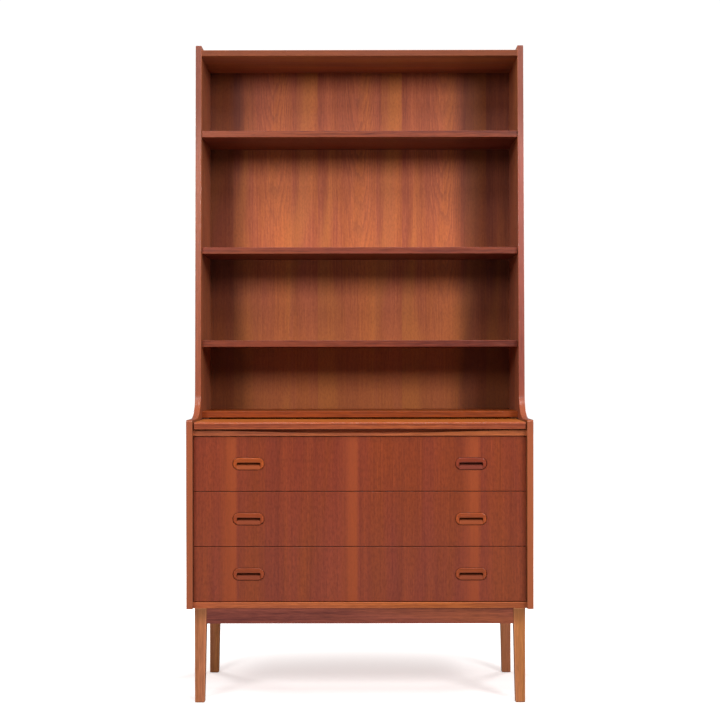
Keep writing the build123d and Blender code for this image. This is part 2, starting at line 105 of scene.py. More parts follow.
class CaseLook(bpy.types.PropertyGroup):
    """The sides and fixed boards."""

    pale: colour("Pale grain of the sides", (0.44, 0.135, 0.060))
    deep: colour("Dark grain of the sides", (0.26, 0.074, 0.034))
    edge_pale: colour("Pale grain of the solid edges", (0.31, 0.078, 0.042))
    edge_deep: colour("Dark grain of the solid edges", (0.19, 0.044, 0.025))
    edge_low: colour("Solid edges beside the drawers", (0.36, 0.090, 0.028))
    board_pale: colour("Pale grain of the fixed boards", (0.38, 0.100, 0.036))
    board_deep: colour("Dark grain of the fixed boards", (0.20, 0.048, 0.020))
    top_pale: colour("Pale grain of the top board", (0.47, 0.150, 0.056))
    top_deep: colour("Dark grain of the top board", (0.26, 0.076, 0.032))
    top_edge_pale: colour("Pale grain of the top board's edge", (0.30, 0.062, 0.010))
    top_edge_deep: colour("Dark grain of the top board's edge", (0.16, 0.033, 0.007))
    roughness: amount("Roughness", "How matt the oiled surface is", 0.45)
    edge_roughness: amount("Edge roughness", "How matt the solid edges are", 0.33)


class BackLook(bpy.types.PropertyGroup):
    """The veneered back."""

    pale: colour("Pale figure", (0.55, 0.148, 0.056))
    deep: colour("Dark figure", (0.33, 0.076, 0.034))
    golden: colour("Golden patches", (0.55, 0.172, 0.036))
    arch_tone: colour("Arches", (0.22, 0.055, 0.030))
    # The tone of the painted shade on the back: at the sides, low down and at the top.
    outer: colour("Tone of the darkened parts", (0.40, 0.34, 0.30))
    leaf: length("Leaf width", "Width of one leaf of veneer", 0.245)
    arch: length("Arch spacing", "Distance between the tips of the figure's arches", 0.075)
    steepness: FloatProperty(name="Steepness", description="How narrow the arches are", default=140.0)
    roughness: amount("Roughness", "How matt the panel is", 0.5)


class DrawerLook(bpy.types.PropertyGroup):
    """The drawer fronts."""

    pale: colour("Pale grain", (0.300, 0.056, 0.021))
    deep: colour("Dark grain", (0.165, 0.031, 0.016))
    band: colour("Light band at each leaf's edge", (0.34, 0.068, 0.019))
    leaf: length("Leaf width", "Width of one leaf of veneer", 0.3155)
    roughness: amount("Roughness", "How matt the fronts are", 0.40)


class ShelfLook(bpy.types.PropertyGroup):
    """The shelves and the writing slide."""

    # The shelf boards are painted darker than the other boards: partly painted shade, as mostly their
    # shaded undersides show.
    pale: colour("Pale grain of the shelves", (0.225, 0.047, 0.023))
    deep: colour("Dark grain of the shelves", (0.105, 0.022, 0.012))
    lip_pale: colour("Pale grain of the lippings", (0.215, 0.046, 0.022))
    lip_deep: colour("Dark grain of the lippings", (0.095, 0.018, 0.011))
    # The slide's bright orange is partly its own colour, partly a painted reflection of the orange
    # back panel at a grazing angle.
    slide_pale: colour("Pale grain of the slide", (0.66, 0.20, 0.034))
    slide_deep: colour("Dark grain of the slide", (0.39, 0.10, 0.019))
    edge_pale: colour("Pale grain of the slide's edge", (0.38, 0.090, 0.032))
    edge_deep: colour("Dark grain of the slide's edge", (0.20, 0.040, 0.018))
    roughness: amount("Roughness", "How matt the boards are", 0.38)


class PullLook(bpy.types.PropertyGroup):
    """The carved pulls."""

    pale: colour("Orange pull", (0.41, 0.082, 0.018))
    deep: colour("Red pull", (0.24, 0.040, 0.019))
    bar_drop: length("Bar", "How far the bar reaches below the pull's top", 0.0125)
    proud: length("Stand", "How far the pull stands out of the drawer's face", 0.0016)
    shoulder: length("Shoulder", "Half the length of the pull's full-height part", 0.0250)


class LegLook(bpy.types.PropertyGroup):
    """The legs, aprons and glides."""

    pale: colour("Pale grain of the legs", (0.58, 0.220, 0.090))
    deep: colour("Dark grain of the legs", (0.34, 0.122, 0.049))
    shoe: colour("Dark rim of the feet", (0.05, 0.026, 0.015))
    apron_pale: colour("Pale grain of the aprons", (0.30, 0.080, 0.046))
    apron_deep: colour("Dark grain of the aprons", (0.11, 0.027, 0.020))
    squareness: FloatProperty(name="Squareness", description="Exponent of the leg's section",
                              default=11.0, min=2.0, max=20.0)
    rings: IntProperty(name="Rings", description="Rings along a leg", default=28, min=4, max=200)


class InnerLook(bpy.types.PropertyGroup):
    """What shows when the drawers are open, and the fittings."""

    pale: colour("Pale grain of the drawer boxes", (0.60, 0.38, 0.235))
    deep: colour("Dark grain of the drawer boxes", (0.42, 0.245, 0.138))
    batten: colour("Stained battens and guides of the slide", (0.10, 0.035, 0.018))
    steel: colour("Steel", (0.55, 0.54, 0.51))
    board: colour("Hardboard", (0.16, 0.085, 0.045))
    plastic: colour("Glide", (0.020, 0.014, 0.012))


class StudioLook(bpy.types.PropertyGroup):
    """Camera, lights and floor."""

    camera: FloatVectorProperty(name="Camera", description="Where the camera stands", size=3,
                                default=(0.00765, -3.72, 0.8715), subtype="TRANSLATION")
    lens: FloatProperty(name="Lens", description="Focal length in millimetres", default=67.58)
    rise: FloatProperty(name="Rise", description="Upward shift of the lens", default=0.0104)
    turn: FloatProperty(name="Turn", description="Turn to the left", default=math.radians(0.11),
                        subtype="ANGLE", unit="ROTATION")
    roll: FloatProperty(name="Roll", description="Roll of the camera", default=math.radians(0.07),
                        subtype="ANGLE", unit="ROTATION")
    left_power: FloatProperty(name="Left light", description="Power in watts", default=45.0)
    right_power: FloatProperty(name="Right light", description="Power in watts", default=64.0)
    top_power: FloatProperty(name="Top light", description="Power in watts", default=50.0)
    rear_power: FloatProperty(name="Rear lights", description="Power in watts each", default=34.0)
    ambient: amount("Ambient", "Strength of the light from all round", 0.21)
    glow: amount("Floor glow", "How bright the floor looks by itself", 0.42)
    bounce: amount("Floor bounce", "How much of the light the floor throws back", 0.38)


LOOKS = {
    "bookcase_case": CaseLook,
    "bookcase_back": BackLook,
    "bookcase_drawer": DrawerLook,
    "bookcase_shelf": ShelfLook,
    "bookcase_pull": PullLook,
    "bookcase_leg": LegLook,
    "bookcase_inner": InnerLook,
    "bookcase_studio": StudioLook,
}


# ------------------------------------------------------------------ shader maths
class Value:
    """A socket that carries one number, with arithmetic that adds Math nodes."""

    def __init__(self, shade, socket):
        self.shade = shade
        self.socket = socket

    def _math(self, operation, *terms):
        node = self.shade.put("Math", {"operation": operation}, dict(enumerate(terms)))
        return Value(self.shade, node.outputs[0])

    def __add__(self, other):
        return self._math("ADD", self, other)

    def __radd__(self, other):
        return self._math("ADD", other, self)

    def __sub__(self, other):
        return self._math("SUBTRACT", self, other)

    def __rsub__(self, other):
        return self._math("SUBTRACT", other, self)

    def __mul__(self, other):
        return self._math("MULTIPLY", self, other)

    def __rmul__(self, other):
        return self._math("MULTIPLY", other, self)

    def __truediv__(self, other):
        return self._math("DIVIDE", self, other)

    def __abs__(self):
        return self._math("ABSOLUTE", self)

    def floor(self):
        return self._math("FLOOR", self)

    def fract(self):
        return self._math("FRACT", self)

    def root(self):
        return self._math("SQRT", self)

    def clamp(self):
        node = self.shade.put("Clamp", {}, {"Value": self})
        return Value(self.shade, node.outputs[0])

    def smooth(self, low, high):
        """0 below low, 1 above high, and a smooth rise between them."""
        inputs = {"Value": self, "From Min": low, "From Max": high}
        node = self.shade.put("MapRange", {"interpolation_type": "SMOOTHSTEP"}, inputs)
        return Value(self.shade, node.outputs[0])


class Shade:
    """A material under construction."""

    def __init__(self, name):
        self.material = bpy.data.materials.new(name)
        self.material.use_nodes = True
        self.tree = self.material.node_tree
        self.shader = self.tree.nodes["Principled BSDF"]
        place = self.put("TexCoord", {}, {}).outputs["Object"]
        self.place = place
        split = self.put("SeparateXYZ", {}, {"Vector": place})
        self.x, self.y, self.z = (Value(self, out) for out in split.outputs)

    def put(self, kind, settings, inputs):
        """Add a node of a kind, with its settings first and then its inputs' values or links."""
        node = self.tree.nodes.new("ShaderNode" + kind)
        for key, value in settings.items():
            setattr(node, key, value)
        self.feed(node, inputs)
        return node

    def feed(self, node, inputs):
        """Give a node's inputs their values, or link them."""
        for key, value in inputs.items():
            value = value.socket if isinstance(value, Value) else value
            if isinstance(value, bpy.types.NodeSocket):
                self.tree.links.new(value, node.inputs[key])
            else:
                node.inputs[key].default_value = value

    def vector(self, x, y, z):
        """A vector from three numbers."""
        return self.put("CombineXYZ", {}, {"X": x, "Y": y, "Z": z}).outputs[0]

    def noise(self, vector, scale, detail=2.0, wander=0.0):
        """Noise of about 0.5, finer along each axis the larger its scale is."""
        stretched = self.put("VectorMath", {"operation": "MULTIPLY"}, {0: vector, 1: scale})
        inputs = {"Vector": stretched.outputs[0], "Scale": 1.0, "Detail": detail,
                  "Distortion": wander}
        return Value(self, self.put("TexNoise", {}, inputs).outputs["Fac"])

    def mix(self, factor, first, second, blend="MIX"):
        """Mix two colours."""
        node = self.put("Mix", {"data_type": "RGBA", "blend_type": blend}, {0: factor})
        self.feed(node, {6: rgba(first), 7: rgba(second)})
        return node.outputs[2]

    def facing(self):
        """How far the surface faces along each axis, each from 0 to 1."""
        normal = self.put("NewGeometry", {}, {}).outputs["Normal"]
        split = self.put("SeparateXYZ", {}, {"Vector": normal})
        return [abs(Value(self, out)) for out in split.outputs]

    def arris(self):
        """1 on rounded edges and 0 on flat faces: the sum of the normal's parts is over 1 there."""
        across, deep, up = self.facing()
        return (across + deep + up - 1).smooth(0.10, 0.36)

    def finish(self, colour, roughness, height, relief=0.00025, strength=0.5, gloss=0.22):
        """Link colour, roughness and a bump of this height in metres, and return the material."""
        bump = self.put("Bump", {}, {"Height": height, "Distance": relief, "Strength": strength})
        self.feed(self.shader, {"Base Color": rgba(colour), "Roughness": roughness,
                                "Normal": bump.outputs[0], "Specular IOR Level": gloss})
        return self.material


def rgba(value):
    """A colour socket as it is, or three numbers with full alpha."""
    if isinstance(value, (bpy.types.NodeSocket, Value)):
        return value
    return (*tuple(value)[:3], 1.0)


def stretch(along, across, length_wise):
    """A scale that is fine across the grain and coarse along it."""
    return tuple(length_wise if axis == along else across for axis in "XYZ")


# ------------------------------------------------------------------ finishes
CLARET = (0.92, 0.84, 0.96)
HONEY = (1.0, 0.97, 0.70)
# Tints of the lowest and highest drawer fronts; the low tint is a painted reflection of the pale
# floor.
LOW_FRONTS_FLOOR_REFLECTION = (1.02, 1.16, 1.30)
HIGH_FRONTS = (0.98, 0.95, 0.84)
STREAK_ROUGHNESS = 0.16


def dimmed(colour, share):
    """A share of a colour."""
    return [share * part for part in colour]


def grain(shade, vector, along, pale, deep, contrast=1.0):
    """Teak grain: flecks, fine lines and broad wandering zones, some claret and some honey, with
    short dark pores along the grain. Rounded edges are painted paler, partly as wear and partly as a
    painted highlight. Returns the tone, how matt the streaks are, which is less on rounded edges,
    the pores and the relief."""
    fine = shade.noise(vector, stretch(along, 1100.0, 40.0), 2.0)
    fleck = shade.noise(vector, stretch(along, 360.0, 26.0), 2.0)
    line = shade.noise(vector, stretch(along, 230.0, 2.4), 2.0, 0.3)
    streak = shade.noise(vector, stretch(along, 60.0, 1.3), 2.0, 0.4)
    zone = shade.noise(vector, stretch(along, 15.0, 0.8), 2.0, 0.6)
    hue = shade.noise(vector, stretch(along, 12.0, 0.9), 3.0, 0.9).smooth(0.33, 0.67)
    pores = fine.smooth(0.60, 0.72)
    parts = (fine - 0.5) * 0.9 + (fleck - 0.5) * 1.5 + (line - 0.5) * 1.5 + (zone - 0.5) * 1.7
    tone = 0.5 + contrast * (parts + (streak - 0.5) * 0.9)
    body = shade.mix(tone.clamp(), deep, pale)
    body = shade.mix(1.0, body, shade.mix(hue, CLARET, HONEY), "MULTIPLY")
    pored = shade.mix(pores * 0.5, body, dimmed(deep, 0.4))
    # Rounded edges are painted paler: partly wear, partly a painted highlight.
    worn_and_highlit = shade.arris()
    pored = shade.mix(worn_and_highlit * 0.5, pored, [min(1.0, part) for part in dimmed(pale, 1.35)])
    height = fleck * 0.5 + fine * 0.5 - pores
    return pored, streak - worn_and_highlit, pores, height


def teak(name, along, pale, deep, roughness, contrast=1.0):
    """A plain teak with its grain along one axis."""
    shade = Shade(name)
    tone, streak, pores, height = grain(shade, shade.place, along, pale, deep, contrast)
    matt = roughness + (streak - 0.5) * STREAK_ROUGHNESS + pores * 0.15
    return shade.finish(tone, matt, height)


def edged_teak(name, along, flat, faces, edges, low_edge, roughness, edge_roughness):
    """Veneered board with solid edges: a glossier wood wherever the surface doesn't face along the
    flat axis. The edges have a tone of their own low down. At the top they are more matt and
    darker, the darkening a painted shade where less light falls."""
    shade = Shade(name)
    face, streak, pores, height = grain(shade, shade.place, along, *faces)
    edge = grain(shade, shade.place, along, *edges, 0.8)[0]
    edge = shade.mix((1 - shade.z.smooth(0.66, 0.86)) * 0.75, edge, low_edge)
    # Painted shade: the edges are darkened at the top, where less light falls on them.
    high = shade.z.smooth(1.42, 1.62)
    edge = shade.mix(high * 0.6, edge, dimmed(edges[1], 0.6))
    on_edge = 1 - shade.facing()["XYZ".index(flat)].smooth(0.5, 0.7)
    matt = roughness + (streak - 0.5) * STREAK_ROUGHNESS + pores * 0.12
    matt = matt + on_edge * (edge_roughness - roughness + high * 0.36)
    return shade.finish(shade.mix(on_edge, face, edge), matt, height, gloss=0.45)


def leg_teak(look):
    """Solid teak with painted shade right under the case, and dark round the sole."""
    shade = Shade("leg_teak")
    tone, streak, pores, height = grain(shade, shade.place, "Z", look.pale, look.deep)
    # Painted shade: the leg darkens right under the case.
    under = shade.z.smooth(0.19, 0.243)
    tone = shade.mix(under * 0.7, tone, dimmed(look.deep, 0.5))
    shod = 1 - shade.z.smooth(0.0016, 0.0024)
    tone = shade.mix(shod * 0.8, tone, look.shoe)
    return shade.finish(tone, 0.40 + (streak - 0.5) * STREAK_ROUGHNESS + pores * 0.15, height)


def pull_teak(name, pale, deep, face_y):
    """Handled teak, polished outside and matt in the scoop, with painted shade that darkens the
    carved parts and the groove most.
    """
    shade = Shade(name)
    tone, streak, pores, height = grain(shade, shade.place, "X", pale, deep, 0.9)
    carved = (shade.y - face_y).smooth(-0.0008, 0.0010)
    hollow = (shade.y - face_y).smooth(0.0034, 0.0060)
    # Painted shade: the carved parts are darkened, and the deep groove more.
    tone = shade.mix(carved * 0.55, tone, dimmed(deep, 0.62))
    tone = shade.mix(hollow * 0.65, tone, dimmed(deep, 0.4))
    shade.feed(shade.shader, {"Coat Weight": 0.3 * (1 - carved), "Coat Roughness": 0.2})
    return shade.finish(tone, 0.32 + (streak - 0.5) * 0.1 + carved * 0.45, height, gloss=0.2)


def drawer_veneer(look):
    """Upright straight grain in slip-matched leaves: each leaf pales to a light band at its right
    edge and starts dark again. It is one sheet over all the fronts, yellower high up and pinker and
    greyer low down, the low tint a painted reflection of the pale floor."""
    shade = Shade("drawer_veneer")
    turn = shade.x / look.leaf + 4.0
    way = turn.fract()
    vector = shade.vector(way * look.leaf, shade.y, shade.z + turn.floor() * 0.37)
    tone, streak, pores, height = grain(shade, vector, "Z", look.pale, look.deep, 0.6)
    ragged = way + (shade.noise(vector, stretch("Z", 160.0, 1.0)) - 0.5) * 0.10
    band = ragged.smooth(0.80, 0.96) * (1 - way.smooth(0.965, 0.999))
    speck = shade.noise(vector, stretch("Z", 230.0, 90.0), 2.0).smooth(0.44, 0.64)
    tone = shade.mix(speck * 0.26, tone, dimmed(look.deep, 0.5))
    # Painted reflection: the low fronts carry the tint of the pale floor's reflection.
    painted_floor_reflection = shade.mix(shade.z.smooth(0.27, 0.68), LOW_FRONTS_FLOOR_REFLECTION, HIGH_FRONTS)
    tone = shade.mix(1.0, tone, painted_floor_reflection, "MULTIPLY")
    tone = shade.mix(band * 0.6, tone, look.band)
    start = 1 - way.smooth(0.0, 0.14)
    tone = shade.mix(start * 0.15, tone, look.deep)
    matt = look.roughness + (streak - 0.5) * 0.14 + pores * 0.15
    return shade.finish(tone, matt, height)


def back_veneer(look):
    """Upright flat-sawn leaves. The rings show as nested arches: a ring's number is the height less
    a multiple of the square of the place across the leaf, and each ring darkens to a sharp edge. On
    the front, painted shade darkens the sides, low down and the top, where the sides, shelves and
    top board shade the panel."""
    shade = Shade("back_veneer")
    turn = shade.x / look.leaf + 4.5
    across = (turn.fract() - 0.5) * look.leaf
    lift = shade.z + turn.floor() * 0.113
    vector = shade.vector(across, shade.y, lift)
    wander = shade.noise(vector, stretch("Z", 5.0, 2.4), 2.0)
    side = across + (wander - 0.5) * 0.075
    rise = lift + (shade.noise(vector, stretch("Z", 40.0, 5.0), 3.0) - 0.5) * 0.16
    ring = ((rise - side * side * look.steepness) / look.arch).fract()
    dark = ring.smooth(0.35, 0.9) * (1 - ring.smooth(0.92, 1.0))
    heart = 1 - abs(side).smooth(0.035, 0.085)
    shown = shade.noise(vector, (6.0, 1.0, 1.7), 2.0).smooth(0.40, 0.60)
    tone, streak, pores, height = grain(shade, vector, "Z", look.pale, look.deep, 0.75)
    tone = shade.mix(dark * heart * shown * 0.42, tone, look.arch_tone)
    golden = shade.noise(vector, (8.0, 1.0, 1.3), 2.0, 0.6).smooth(0.45, 0.68)
    golden = golden * 0.55 + (1 - shade.z.smooth(0.85, 1.15)) * 0.35
    tone = shade.mix(golden, tone, look.golden)
    speck = shade.noise(vector, stretch("Z", 260.0, 100.0), 2.0).smooth(0.44, 0.64)
    tone = shade.mix(speck * 0.20, tone, dimmed(look.deep, 0.5))
    # Painted shade: the shadows of the sides at both ends, darker low down and under the top.
    ragged = shade.x + 0.02 + (wander - 0.5) * 0.08
    outer = abs(ragged).smooth(0.255, 0.375)
    low = (1 - shade.z.smooth(0.82, 1.25)) * 0.42
    high = shade.z.smooth(1.46, 1.58) * 0.3
    front = 1 - (shade.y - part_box("back_panel_upper")[0][1]).smooth(0.001, 0.003)
    painted_shade = (outer + low + high).clamp() * front
    tone = shade.mix(painted_shade, tone, shade.mix(1.0, tone, look.outer, "MULTIPLY"))
    matt = look.roughness + (streak - 0.5) * 0.12 + pores * 0.15
    return shade.finish(tone, matt, height)


def hardboard(look):
    """Brown pressed fibre: mottled, with short fibres."""
    shade = Shade("hardboard")
    mottle = shade.noise(shade.place, (60.0, 60.0, 60.0), 3.0)
    fibre = shade.noise(shade.place, (900.0, 900.0, 300.0), 2.0)
    tone = shade.mix((mottle * 0.6 + fibre * 0.4).clamp(), dimmed(look.board, 0.6),
                     dimmed(look.board, 1.5))
    return shade.finish(tone, 0.75 - fibre * 0.2, fibre, 0.0002)


def steel(look):
    """Drawn steel with fine rubbed marks."""
    shade = Shade("steel")
    rubbed = shade.noise(shade.place, (900.0, 60.0, 900.0), 2.0)
    tone = shade.mix(rubbed, dimmed(look.steel, 0.75), look.steel)
    shade.feed(shade.shader, {"Metallic": 1.0})
    return shade.finish(tone, 0.28 + rubbed * 0.2, rubbed, 0.00005)


def plastic(look):
    """Dark moulded plastic, scuffed."""
    shade = Shade("glide_plastic")
    scuff = shade.noise(shade.place, (300.0, 300.0, 300.0), 3.0)
    tone = shade.mix(scuff, look.plastic, dimmed(look.plastic, 2.2))
    return shade.finish(tone, 0.4 + scuff * 0.25, scuff, 0.0001)


def dress(material, *nodes):
    """Give CAD nodes a material."""
    for name in nodes:
        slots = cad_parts[name].data.materials
        slots.clear()
        slots.append(material)


# ------------------------------------------------------------------ surfaces
def grid_mesh(name, points):
    """A closed tube from an array of rings of points: quads join each ring to the next, and a face
    closes each end."""
    rings, around = points.shape[:2]
    index = np.arange(rings * around).reshape(rings, around)
    ahead = np.roll(index, -1, axis=1)
    quads = np.stack([index[:-1], ahead[:-1], ahead[1:], index[1:]], axis=-1).reshape(-1, 4)
    faces = quads.tolist() + [index[0, ::-1].tolist(), index[-1].tolist()]
    mesh = bpy.data.meshes.new(name)
    mesh.from_pydata(points.reshape(-1, 3).tolist(), [], faces)
    mesh.validate()
    mesh.polygons.foreach_set("use_smooth", np.ones(len(mesh.polygons), dtype=bool))
    return mesh


def add_piece(name, mesh, body, slot, material, *replaced):
    """Put a mesh in the scene as a finished piece that rides on a body and replaces CAD nodes."""
    piece = bpy.data.objects.new(name, mesh)
    bpy.context.collection.objects.link(piece)
    mesh.materials.append(material)
    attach(piece, body)
    if replaced:
        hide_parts(*replaced)
    return piece


def leg_surface(node, look):
    """A tapered leg. Each ring is a superellipse: its half-widths times the signed power 2/n of the
    cosine and sine of the angle; width and centre go evenly from foot to top. It reaches down round
    the glide."""
    low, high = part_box(node)
    height = np.concatenate([[0.0, 0.004, 0.010], np.linspace(0.03, 0.97, look.rings), [0.995, 1.0]])
    z = SOLE + (high[2] - SOLE) * height
    turn = np.linspace(0, 2 * np.pi, 72, endpoint=False)
    power = 2.0 / look.squareness
    across = np.sign(np.cos(turn)) * np.abs(np.cos(turn)) ** power
    deep = np.sign(np.sin(turn)) * np.abs(np.sin(turn)) ** power
    outward = 1.0 if low[0] > 0 else -1.0
    outer = high[0] if outward > 0 else low[0]
    half_x, half_y = (foot + (top - foot) * height for foot, top in zip(FOOT_HALF, LEG_TOP_HALF))
    rim = np.where(height == 0.0, SOLE_EASE, 0.0)
    centre = outer - outward * (LEG_LEAN * (1 - height) + half_x)
    x = centre[:, None] + (half_x - rim)[:, None] * across
    y = (low[1] + high[1]) / 2 + (half_y - rim)[:, None] * deep
    points = np.stack([x, y, np.broadcast_to(z[:, None], x.shape)], axis=-1)
    return grid_mesh(node, points)


def pull_section(look):
    """The pull's section in depth and height, clockwise from the back's lower edge: the bar, the
    groove behind it for the fingers, and the scoop that dies into the front. The second array is the
    same section with the scoop filled up to the face."""
    face = -look.proud
    bar = 0.0155 - look.bar_drop
    section = np.array([
        (0.0120, -0.0150), (0.0120, 0.0150), (0.0110, 0.0156), (0.0012, PULL_RADIUS),
        (face * 0.5, 0.0156), (face, 0.0150), (face, 0.0085), (face * 0.9, bar + 0.0018),
        (face * 0.3, bar + 0.0003), (0.0012, bar), (0.0034, bar + 0.0004),
        (0.0042, 0.0082), (0.0055, 0.0086), (0.0088, 0.0086), (0.0095, 0.0076), (0.0095, -0.0004),
        (0.0088, -0.0018), (0.0050, -0.0030), (0.0034, -0.0048), (0.0006, -0.0132),
        (0.0003, -0.0150), (0.0012, -PULL_RADIUS), (0.0110, -0.0156)])
    filled = section.copy()
    scoop = slice(8, 19)
    filled[scoop, 0] = face
    filled[scoop, 1] = np.linspace(bar, section[scoop.stop, 1], 11)
    return section, filled


def pull_surface(name, middle, face_y, look):
    """A carved pull: its section is carried along X. Past the shoulders the height falls as the
    root of 1 less the square of the way to the end, which makes each end a half circle. The scoop
    fades out just outside the shoulders, and the ends ease back as the power 1.5 of that way."""
    section, filled = pull_section(look)
    reach = look.shoulder + PULL_RADIUS
    half = np.array([0.0, 0.012, 0.020, 0.0250, 0.0278, 0.0298, 0.0305, 0.0312, 0.0335, 0.0358,
                     0.0378, 0.0392, 0.0402, 0.0406])
    x = np.concatenate([-half[:0:-1], half])
    away = np.clip((np.abs(x) - look.shoulder) / (reach - look.shoulder), 0, 1)
    fall = np.sqrt(1 - away ** 2)
    end = np.clip((np.abs(x) - PULL_EASE_START) / (reach - PULL_EASE_START), 0, 1)
    fill = np.clip((np.abs(x) - SCOOP_HALF_LENGTH) / SCOOP_END, 0, 1)[:, None]
    depth = section[:, 0] + (filled[:, 0] - section[:, 0]) * fill
    height = section[:, 1] + (filled[:, 1] - section[:, 1]) * fill
    sink = PULL_EASE * end[:, None] ** 1.5 * (depth < 0.008)
    y = face_y + depth + sink
    z = middle[1] + height * fall[:, None]
    points = np.stack([np.broadcast_to(middle[0] + x[:, None], y.shape), y, z], axis=-1)
    return grid_mesh(name, points)


# ------------------------------------------------------------------ operators
class CaseOperator(bpy.types.Operator):
    """Finish the sides and the fixed boards"""

    bl_idname = "bookcase.case"
    bl_label = "Case"

    def execute(self, context):
        look = context.scene.bookcase_case
        sides = edged_teak("side_teak", "Z", "X", (look.pale, look.deep),
                           (look.edge_pale, look.edge_deep), look.edge_low, look.roughness,
                           look.edge_roughness)
        dress(sides, "side_left", "side_right")
        top = edged_teak("top_board_teak", "X", "Z", (look.top_pale, look.top_deep),
                         (look.top_edge_pale, look.top_edge_deep), look.edge_low, look.roughness,
                         look.roughness)
        dress(top, "top_board")
        # Shares of the board colour per board; the brighter bottom board and finger rail are painted
        # light, for light reaching the lower case.
        boards = {"ledge_board": (0.76, 0.54, 0.18), "dust_board": (1.0, 1.0, 1.0),
                  "bottom_board": (1.40, 1.45, 1.25), "finger_rail": (1.25, 1.30, 1.20)}
        for node, shares in boards.items():
            pale = [share * part for share, part in zip(shares, look.board_pale)]
            deep = [share * part for share, part in zip(shares, look.board_deep)]
            dress(teak(f"{node}_teak", "X", pale, deep, look.roughness, 1.1), node)
        return {"FINISHED"}


class BackOperator(bpy.types.Operator):
    """Finish the back panels"""

    bl_idname = "bookcase.back"
    bl_label = "Back"

    def execute(self, context):
        dress(back_veneer(context.scene.bookcase_back), "back_panel_upper")
        dress(hardboard(context.scene.bookcase_inner), "back_panel_lower")
        return {"FINISHED"}


class ShelfOperator(bpy.types.Operator):
    """Finish the shelves and the writing slide"""

    bl_idname = "bookcase.shelves"
    bl_label = "Shelves and slide"

    def execute(self, context):
        look = context.scene.bookcase_shelf
        # The shelf colour is darkened as painted shade on the undersides.
        board = teak("shelf_teak", "X", look.pale, look.deep, look.roughness)
        dress(board, *[f"shelf_{name}_board" for name in SHELVES])
        lipping = teak("lipping_teak", "X", look.lip_pale, look.lip_deep, look.roughness, 1.2)
        dress(lipping, *[f"shelf_{name}_lipping" for name in SHELVES])
        # The slide's colour holds partly a painted reflection of the back panel.
        dress(teak("slide_teak", "X", look.slide_pale, look.slide_deep, look.roughness),
              "writing_slide_board")
        dress(teak("slide_edge", "X", look.edge_pale, look.edge_deep, look.roughness, 1.2),
              "writing_slide_lipping")
        return {"FINISHED"}


class DrawerOperator(bpy.types.Operator):
    """Finish the drawer fronts"""

    bl_idname = "bookcase.drawers"
    bl_label = "Drawers"

    def execute(self, context):
        veneer = drawer_veneer(context.scene.bookcase_drawer)
        dress(veneer, *[f"drawer_{name}_front" for name in DRAWERS])
        return {"FINISHED"}


class PullOperator(bpy.types.Operator):
    """Carve the pulls"""

    bl_idname = "bookcase.pulls"
    bl_label = "Pulls"

    def execute(self, context):
        look = context.scene.bookcase_pull
        tones = {("top", "left"): 1.0, ("top", "right"): 0.0, ("middle", "left"): 0.55,
                 ("middle", "right"): 0.9, ("bottom", "left"): 0.35, ("bottom", "right"): 0.5}
        for (drawer, side), share in tones.items():
            node = f"drawer_{drawer}_pull_{side}"
            low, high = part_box(node)
            face_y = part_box(f"drawer_{drawer}_front")[0][1]
            middle = ((low[0] + high[0]) / 2, (low[2] + high[2]) / 2)
            pale = [d + (p - d) * share for p, d in zip(look.pale, look.deep)]
            deep = dimmed(pale, 0.62)
            finish = pull_teak(f"pull_teak_{drawer}_{side}", pale, deep, face_y)
            mesh = pull_surface(f"pull_{drawer}_{side}", middle, face_y, look)
            piece = add_piece(f"pull_{drawer}_{side}", mesh, f"drawer_{drawer}", "pull_teak", finish,
                              node)
            smooth = piece.modifiers.new("Carving", "SUBSURF")
            smooth.levels = smooth.render_levels = 2
        return {"FINISHED"}


class LegOperator(bpy.types.Operator):
    """Shape the legs and finish the leg frame"""

    bl_idname = "bookcase.legs"
    bl_label = "Leg frame"

    def execute(self, context):
        look = context.scene.bookcase_leg
        finish = leg_teak(look)
        for row, side in LEGS:
            node = f"leg_{row}_{side}"
            add_piece(f"tapered_{node}", leg_surface(node, look), "case", "leg_teak", finish, node)
        apron = teak("apron_teak", "X", look.apron_pale, look.apron_deep, 0.45, 0.8)
        dress(apron, "apron_front", "apron_rear", "apron_left", "apron_right")
        dress(plastic(context.scene.bookcase_inner), "foot_glides")
        return {"FINISHED"}


class InnerOperator(bpy.types.Operator):
    """Finish the drawer boxes, runners and fittings"""

    bl_idname = "bookcase.inner"
    bl_label = "Inside"

    def execute(self, context):
        look = context.scene.bookcase_inner
        sides = [f"drawer_{name}_side_{side}" for name in DRAWERS for side in SIDES]
        dress(teak("box_wood", "Y", look.pale, look.deep, 0.5), *sides)
        dress(teak("box_back_wood", "X", look.pale, look.deep, 0.5),
              *[f"drawer_{name}_back" for name in DRAWERS])
        dress(teak("floor_ply", "X", look.pale, look.deep, 0.55, 0.6),
              *[f"drawer_{name}_floor" for name in DRAWERS])
        dress(teak("runner_wood", "Y", look.pale, look.deep, 0.55), "drawer_runners_left",
              "drawer_runners_right", "corner_blocks", "case_dowels")
        dress(teak("batten_wood", "X", look.batten, dimmed(look.batten, 0.5), 0.6),
              "slide_guides", "slide_stop", "writing_slide_batten")
        wires = [f"shelf_{name}_wires" for name in SHELVES]
        dress(steel(look), "back_screws", "frame_screws", *wires)
        return {"FINISHED"}


